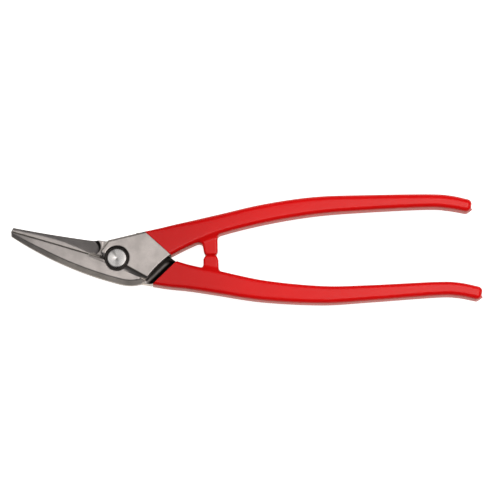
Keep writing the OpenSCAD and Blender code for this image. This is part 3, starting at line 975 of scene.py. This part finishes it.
def thread_tree():
    """Geometry nodes for a screw thread: a helix of a given pitch swept with a four-sided ridge."""
    tree = bpy.data.node_groups.new("screw_thread", "GeometryNodeTree")
    face = tree.interface
    face.new_socket("Geometry", in_out="INPUT", socket_type="NodeSocketGeometry")
    for name in ("Radius", "Pitch", "Turns", "Start Height", "Ridge Size"):
        face.new_socket(name, in_out="INPUT", socket_type="NodeSocketFloat")
    face.new_socket("Material", in_out="INPUT", socket_type="NodeSocketMaterial")
    face.new_socket("Geometry", in_out="OUTPUT", socket_type="NodeSocketGeometry")
    given = tree.nodes.new("NodeGroupInput").outputs

    def node(kind, **inputs):
        """A node whose named inputs are linked to outputs, or set to numbers."""
        made = tree.nodes.new(kind)
        for key, value in inputs.items():
            socket = made.inputs[key.replace("_", " ")]
            if isinstance(value, bpy.types.NodeSocket):
                tree.links.new(value, socket)
            else:
                socket.default_value = value
        return made

    height = tree.nodes.new("ShaderNodeMath")
    height.operation = "MULTIPLY"
    tree.links.new(given["Pitch"], height.inputs[0])
    tree.links.new(given["Turns"], height.inputs[1])
    helix = node("GeometryNodeCurveSpiral", Resolution=48, Rotations=given["Turns"],
                 Start_Radius=given["Radius"], End_Radius=given["Radius"], Height=height.outputs[0])
    lift = node("ShaderNodeCombineXYZ", Z=given["Start Height"])
    move = node("GeometryNodeTransform", Geometry=helix.outputs["Curve"], Translation=lift.outputs[0])
    ridge = node("GeometryNodeCurvePrimitiveCircle", Resolution=4, Radius=given["Ridge Size"])
    sweep = node("GeometryNodeCurveToMesh", Fill_Caps=True, Curve=move.outputs["Geometry"],
                 Profile_Curve=ridge.outputs["Curve"])
    real = node("GeometryNodeRealizeInstances", Geometry=sweep.outputs["Mesh"])
    paint = node("GeometryNodeSetMaterial", Geometry=real.outputs["Geometry"], Material=given["Material"])
    node("NodeGroupOutput", Geometry=paint.outputs["Geometry"])
    return tree


def from_tree(name, tree, inputs):
    """The plain mesh that a geometry-node tree makes with these inputs."""
    obj = bpy.data.objects.new(name, bpy.data.meshes.new(name))
    bpy.context.scene.collection.objects.link(obj)
    modifier = obj.modifiers.new("nodes", "NODES")
    modifier.node_group = tree
    for item in tree.interface.items_tree:
        if item.in_out == "INPUT" and item.name in inputs:
            modifier[item.identifier] = inputs[item.name]
    apply_modifiers(obj)
    return obj


# ---------------------------------------------------------------------------------------------
# Add-on: settings, one operator for each piece or group, and the panel
# ---------------------------------------------------------------------------------------------


class SnipsFinish(bpy.types.PropertyGroup):
    """Colours of the snips' finishes."""
    coat_colour: FloatVectorProperty(
        name="Coat Colour", description="Dip coat on both handles", subtype="COLOR", size=3,
        default=(0.74, 0.004, 0.004), min=0, max=1)
    ground_colour: FloatVectorProperty(
        name="Ground Steel", description="Ground faces of the cheeks and blades", subtype="COLOR", size=3,
        default=(0.7, 0.645, 0.62), min=0, max=1)
    bolt_colour: FloatVectorProperty(
        name="Bolt Steel", description="Turned head of the pivot bolt", subtype="COLOR", size=3,
        default=(0.84, 0.82, 0.81), min=0, max=1)
    plating_colour: FloatVectorProperty(
        name="Plating", description="Zinc plating of the nut and washers", subtype="COLOR", size=3,
        default=(0.62, 0.64, 0.66), min=0, max=1)


class SnipsStudio(bpy.types.PropertyGroup):
    """Camera and light."""
    tilt: FloatProperty(
        name="Camera Tilt", description="How far the camera leans from straight above", subtype="ANGLE",
        default=math.radians(14))
    distance: FloatProperty(
        name="Camera Distance", description="From the camera to the tool", unit="LENGTH", default=1.3)
    view_width: FloatProperty(
        name="View Width", description="Width of what the camera frames, at the tool", unit="LENGTH",
        default=0.29886)
    softbox: FloatProperty(
        name="Softbox", description="Brightness of the large soft light overhead", default=0.61)
    handle_light: FloatProperty(
        name="Handle Light", description="Brightness of the second soft light, over the handles",
        default=1.75)
    fill: FloatProperty(
        name="Fill", description="Strength of the even light from above that adds no reflections",
        default=1.6)


class SNIPS_OT_levers(bpy.types.Operator):
    """Makes both forged levers"""
    bl_idname = "snips.levers"
    bl_label = "Forged Levers"

    def execute(self, context):
        steel = forged_steel(context.scene.snips_finish)
        front = make_lever("front_lever", front_lever, span(-64, FINE, 36, COARSE, 208, END_FINE, 214),
                           span(-18, FINE, 41), front_shade_and_scale)
        finish(front, steel, "front_half", "lower_blade_lever")
        rear = make_lever("rear_lever", rear_lever, span(-64, FINE, 38, COARSE, 212, END_FINE, 219),
                          span(-29, FINE, 21), rear_shade_and_scale)
        finish(rear, steel, "rear_half", "upper_blade_lever")
        return {"FINISHED"}


class SNIPS_OT_coats(bpy.types.Operator):
    """Makes the dip coats of both handles"""
    bl_idname = "snips.coats"
    bl_label = "Handle Coats"

    def execute(self, context):
        red = dip_coat(context.scene.snips_finish)
        lug_lines = (47, END_FINE, 65)
        upper = make_coat("upper_coat", upper_coat, span(4, COARSE, *lug_lines, COARSE, 206, END_FINE, 216),
                          span(-4, END_FINE, 42), UPPER_START)
        finish(upper, red, "front_half", "upper_handle_coat")
        lower = make_coat("lower_coat", lower_coat, span(4, COARSE, *lug_lines, COARSE, 210, END_FINE, 221),
                          span(-30, END_FINE, 7), LOWER_START)
        finish(lower, red, "rear_half", "lower_handle_coat")
        return {"FINISHED"}


SHANK_R = 4
THREAD_ROOT_R, THREAD_TOP_Z = 3.45, 7.7     # the shank's thinner end, which carries the thread
THREAD_R, THREAD_PITCH, THREAD_TURNS = 3.5, 1.25, 5.0
THREAD_START_Z = 0.75
THREAD_RIDGE = 0.42
HEAD_CHAMFER = 0.36
CENTRE_DIMPLE = 0.06                        # depth of the lathe centre's mark in the head


class SNIPS_OT_bolt(bpy.types.Operator):
    """Makes the pivot bolt with its thread"""
    bl_idname = "snips.bolt"
    bl_label = "Pivot Bolt"

    def execute(self, context):
        steel = turned_steel(context.scene.snips_finish)
        under = SHEAR_Z + POCKET_FLOOR
        bolt = lathe("pivot_bolt_piece", [
            (0, HEAD_TOP - CENTRE_DIMPLE), (0.35, HEAD_TOP - 0.05), (0.5, HEAD_TOP),
            (HEAD_R - HEAD_CHAMFER, HEAD_TOP), (HEAD_R, HEAD_TOP - HEAD_CHAMFER), (HEAD_R, under),
            (SHANK_R, under), (SHANK_R, THREAD_TOP_Z + 0.5), (THREAD_ROOT_R, THREAD_TOP_Z),
            (THREAD_ROOT_R, 0.5), (3.0, 0), (0, 0)], soften=0.1)
        finish(bolt, steel, "front_half", "pivot_bolt")
        plated = plated_steel(context.scene.snips_finish)
        thread = from_tree("bolt_thread", thread_tree(), {
            "Radius": THREAD_R * MM, "Pitch": THREAD_PITCH * MM, "Turns": THREAD_TURNS,
            "Start Height": THREAD_START_Z * MM, "Ridge Size": THREAD_RIDGE * MM, "Material": plated})
        finish(thread, plated, "front_half", "pivot_bolt")
        return {"FINISHED"}


NUT_BORE_R, RING_BORE_R, WASHER_BORE_R = 4.02, 3.9, 4.2
NUT_FACE_R = NUT_AF / 2 - 0.2               # of the flat ends inside the nut's corner chamfers
NUT_CHAMFER_FALL = 0.55
COLLAR_H, COLLAR_R = 2.1, 5.6               # of the collar that holds the insert
COLLAR_LIP = 0.5
RING_R = 4.98
SPRING_T = 0.8                              # thickness of the spring washer


def nut_profile(low, high):
    """Half section of the lock nut, from its seat down round the collar and back up the bore."""
    top = low + COLLAR_H
    return [
        (NUT_BORE_R, high), (NUT_FACE_R, high), (NUT_AF / 2, high - 0.05), (NUT_AF / 2, top + 0.1),
        (NUT_FACE_R, top), (COLLAR_R, top), (COLLAR_R, low + COLLAR_LIP), (5.3, low), (4.7, low),
        (4.6, low + 0.3), (5.0, low + COLLAR_LIP), (5.0, top), (NUT_BORE_R, top)]


def ring_profile(node, inner_r, outer_r):
    """Half section of a flat ring that is as high as its CAD node."""
    low, high = low_mm(node)[2], high_mm(node)[2]
    return [(inner_r, high), (outer_r, high), (outer_r, low), (inner_r, low)]


class SNIPS_OT_nut(bpy.types.Operator):
    """Makes the lock nut, its insert and both washers"""
    bl_idname = "snips.nut"
    bl_label = "Nut and Washers"

    def execute(self, context):
        settings = context.scene.snips_finish
        plated = plated_steel(settings)
        low, high = low_mm("lock_nut")[2], high_mm("lock_nut")[2]

        def hexagon(r, z, a):
            """Turns the outer corner points into a hexagon whose chamfers cut its corners back."""
            if r < NUT_AF / 2:
                return r, z
            spoke = NUT_AF / 2 / math.cos((a % (math.pi / 3)) - math.pi / 6)
            drop = (spoke - NUT_FACE_R) * NUT_CHAMFER_FALL
            return spoke, (z - drop if z > low + COLLAR_H + 1 else z + drop)

        nut = lathe("lock_nut_piece", nut_profile(low, high), soften=0.12, steps=144, radius_at=hexagon)
        finish(nut, plated, "front_half", "lock_nut")
        ring = lathe("insert_ring_piece", ring_profile("nut_insert_ring", RING_BORE_R, RING_R), soften=0.2)
        finish(ring, nylon(settings), "front_half", "nut_insert_ring")
        washer = lathe("flat_washer_piece", ring_profile("flat_washer", WASHER_BORE_R, WASHER_R), soften=0.2)
        finish(washer, plated, "front_half", "flat_washer")
        low, high = low_mm("spring_washer")[2], high_mm("spring_washer")[2]
        outer = high_mm("spring_washer")[0]
        spring = lathe("spring_washer_piece", [
            (WASHER_BORE_R, low + SPRING_T), (outer, high), (outer, high - SPRING_T), (WASHER_BORE_R, low)],
            soften=0.18)
        finish(spring, plated, "front_half", "spring_washer")
        return {"FINISHED"}


FLOOR_HALF = 0.6
FLOOR_GLOW_SEEN, FLOOR_GLOW = 0.9, 0.6      # the floor's own light, as the camera sees it and in reflections
FLOOR_GLOW_LESS = -0.52                     # added for the light that it throws up at the tool
VIEW_MIDDLE = (0.0792, 0.00604)             # point at the tool's mid height that the camera looks at
SOFTBOX_CORNERS = ((-0.8, -0.45, 1.25), (1.4, 0.58, 1.25))
HANDLE_LIGHT_CORNERS = ((0.19, -0.45, 1.2), (1.4, 0.6, 1.2))
WORLD_DIM = 0.075                           # the world's light on the tool, while the camera sees it white


def make_floor(scene):
    """A plain pale floor with a soft glow of its own."""
    half = FLOOR_HALF
    mesh = bpy.data.meshes.new("floor")
    corners = [(-half, -half, 0), (half, -half, 0), (half, half, 0), (-half, half, 0)]
    mesh.from_pydata(corners, [], [(0, 1, 2, 3)])
    floor = bpy.data.objects.new("floor", mesh)
    scene.collection.objects.link(floor)
    n = Nodes("pale_floor")
    n.set(Base_Color=(0.5, 0.5, 0.5, 1), Roughness=0.9)
    path = n.add("ShaderNodeLightPath")
    tint = n.mix((1.0, 0.93, 0.78), (1.0, 1.0, 1.0), path, "Is Camera Ray")
    n.tree.links.new(tint, n.shader.inputs["Emission Color"])
    seen = n.remap(path, "Is Camera Ray", 0, 1, FLOOR_GLOW, FLOOR_GLOW_SEEN)
    glow = n.add("ShaderNodeMath", operation="MULTIPLY_ADD")
    n.link(path, "Is Diffuse Ray", glow, 0)
    glow.inputs[1].default_value = FLOOR_GLOW_LESS
    n.link(seen, "Result", glow, 2)
    n.link(glow, "Value", n.shader, "Emission Strength")
    mesh.materials.append(n.material)


def make_camera(scene, studio):
    """The camera, leaning a little from straight above towards the tool's lower side."""
    middle = Vector((*VIEW_MIDDLE, SHEAR_Z * MM))
    away = Vector((0, -math.sin(studio.tilt), math.cos(studio.tilt)))
    camera = bpy.data.objects.new("camera", bpy.data.cameras.new("camera"))
    scene.collection.objects.link(camera)
    camera.location = middle + away * studio.distance
    camera.rotation_euler = (studio.tilt, 0, 0)
    camera.data.angle = 2 * math.atan(studio.view_width / 2 / studio.distance)
    camera.data.clip_end = 50
    scene.camera = camera


def make_lamp(scene, name, corners, brightness, colour):
    """A level soft light overhead, from one corner to the other, of the same brightness all over."""
    low, high = corners
    light = bpy.data.lights.new(name, "AREA")
    light.shape = "RECTANGLE"
    light.size, light.size_y = high[0] - low[0], high[1] - low[1]
    light.color = colour
    light.energy = brightness * math.pi * light.size * light.size_y
    obj = bpy.data.objects.new(name, light)
    obj.location = (Vector(low) + Vector(high)) / 2
    scene.collection.objects.link(obj)


def make_fill(scene, strength):
    """Even light from above that gives no reflections."""
    sun = bpy.data.lights.new("fill", "SUN")
    sun.energy = strength
    sun.angle = math.radians(70)
    fill = bpy.data.objects.new("fill", sun)
    fill.rotation_euler = (math.radians(-8), math.radians(6), 0)
    fill.visible_glossy = False
    scene.collection.objects.link(fill)


def make_world(scene):
    """A world that is white behind the tool and dim as a light."""
    world = bpy.data.worlds.new("studio")
    scene.world = world
    world.use_nodes = True
    tree = world.node_tree
    dim = tree.nodes["Background"]
    dim.inputs["Color"].default_value = (0.9, 0.93, 1, 1)
    dim.inputs["Strength"].default_value = WORLD_DIM
    pale = tree.nodes.new("ShaderNodeBackground")
    pale.inputs["Color"].default_value = (1, 1, 1, 1)
    path = tree.nodes.new("ShaderNodeLightPath")
    mix = tree.nodes.new("ShaderNodeMixShader")
    tree.links.new(path.outputs["Is Camera Ray"], mix.inputs["Fac"])
    tree.links.new(dim.outputs[0], mix.inputs[1])
    tree.links.new(pale.outputs[0], mix.inputs[2])
    tree.links.new(mix.outputs[0], tree.nodes["World Output"].inputs["Surface"])


class SNIPS_OT_stage(bpy.types.Operator):
    """Sets the floor, the camera and the lights"""
    bl_idname = "snips.stage"
    bl_label = "Stage"

    def execute(self, context):
        scene, studio = context.scene, context.scene.snips_studio
        make_floor(scene)
        make_camera(scene, studio)
        make_lamp(scene, "softbox", SOFTBOX_CORNERS, studio.softbox, (1, 0.98, 0.95))
        make_lamp(scene, "handle_light", HANDLE_LIGHT_CORNERS, studio.handle_light, (1, 0.95, 0.9))
        make_fill(scene, studio.fill)
        make_world(scene)
        scene.view_settings.view_transform = "Standard"
        return {"FINISHED"}


OPERATORS = (SNIPS_OT_levers, SNIPS_OT_coats, SNIPS_OT_bolt, SNIPS_OT_nut, SNIPS_OT_stage)


class SNIPS_PT_panel(bpy.types.Panel):
    """Sizes, colours and pieces of the snips"""
    bl_label = "Snips"
    bl_idname = "SNIPS_PT_panel"
    bl_space_type = "VIEW_3D"
    bl_region_type = "UI"
    bl_category = "Snips"

    def draw(self, context):
        for settings in (context.scene.snips_finish, context.scene.snips_studio):
            for name in settings.__annotations__:
                self.layout.prop(settings, name)
        for operator in OPERATORS:
            self.layout.operator(operator.bl_idname)


CLASSES = (SnipsFinish, SnipsStudio, *OPERATORS, SNIPS_PT_panel)


def register():
    for cls in CLASSES:
        bpy.utils.register_class(cls)
    bpy.types.Scene.snips_finish = PointerProperty(type=SnipsFinish)
    bpy.types.Scene.snips_studio = PointerProperty(type=SnipsStudio)


def unregister():
    del bpy.types.Scene.snips_finish
    del bpy.types.Scene.snips_studio
    for cls in reversed(CLASSES):
        bpy.utils.unregister_class(cls)


def main():
    register()
    for operator in OPERATORS:
        group, name = operator.bl_idname.split(".")
        getattr(getattr(bpy.ops, group), name)()


if __name__ == "__main__":
    main()
